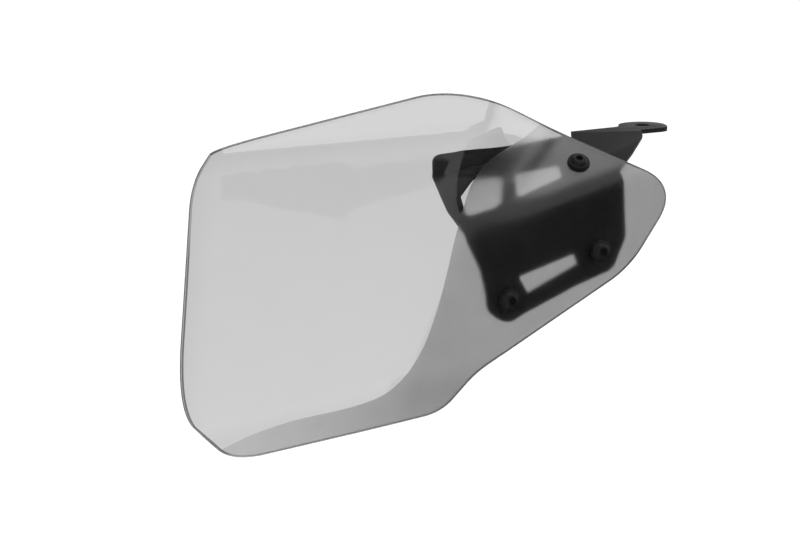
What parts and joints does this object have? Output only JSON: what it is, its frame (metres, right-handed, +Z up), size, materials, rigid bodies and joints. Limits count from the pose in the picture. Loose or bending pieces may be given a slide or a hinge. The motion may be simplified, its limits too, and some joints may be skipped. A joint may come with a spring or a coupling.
{
  "type": "motorcycle hand guard",
  "caption": "Clear dished hand guard shield screwed through spacers to a bent black plate bracket, which has a level mounting tab with one hole.",
  "frame": {"origin": "middle of the mounting hole in the bracket's tab, half-way through the plate", "axes": "+X inboard, towards the steering head, +Y towards the rider, +Z up along the mounting hole; the guard is the one for the rider's right hand"},
  "size_m": [0.3515, 0.0868, 0.2336],
  "materials": {
    "clear_acrylic": "clear, with a satin inboard area",
    "black_coated_plate": "fine black powder coat on aluminium",
    "black_steel": "black oxide",
    "black_nylon": "satin",
    "black_rubber": "matt",
    "zinc_steel": "bright zinc"
  },
  "bodies": {
    "root": {"shield": "clear_acrylic", "bracket": "black_coated_plate", "upper_screw": "black_steel", "upper_collar_washer": "black_nylon", "upper_rubber_ring": "black_rubber", "upper_spacer_sleeve": "black_nylon", "upper_back_washer": "zinc_steel", "upper_lock_nut": "zinc_steel", "inboard_screw": "black_steel", "inboard_collar_washer": "black_nylon", "inboard_rubber_ring": "black_rubber", "inboard_spacer_sleeve": "black_nylon", "inboard_back_washer": "zinc_steel", "inboard_lock_nut": "zinc_steel", "lower_screw": "black_steel", "lower_collar_washer": "black_nylon", "lower_rubber_ring": "black_rubber", "lower_spacer_sleeve": "black_nylon", "lower_back_washer": "zinc_steel", "lower_lock_nut": "zinc_steel"}
  },
  "joints": []
}
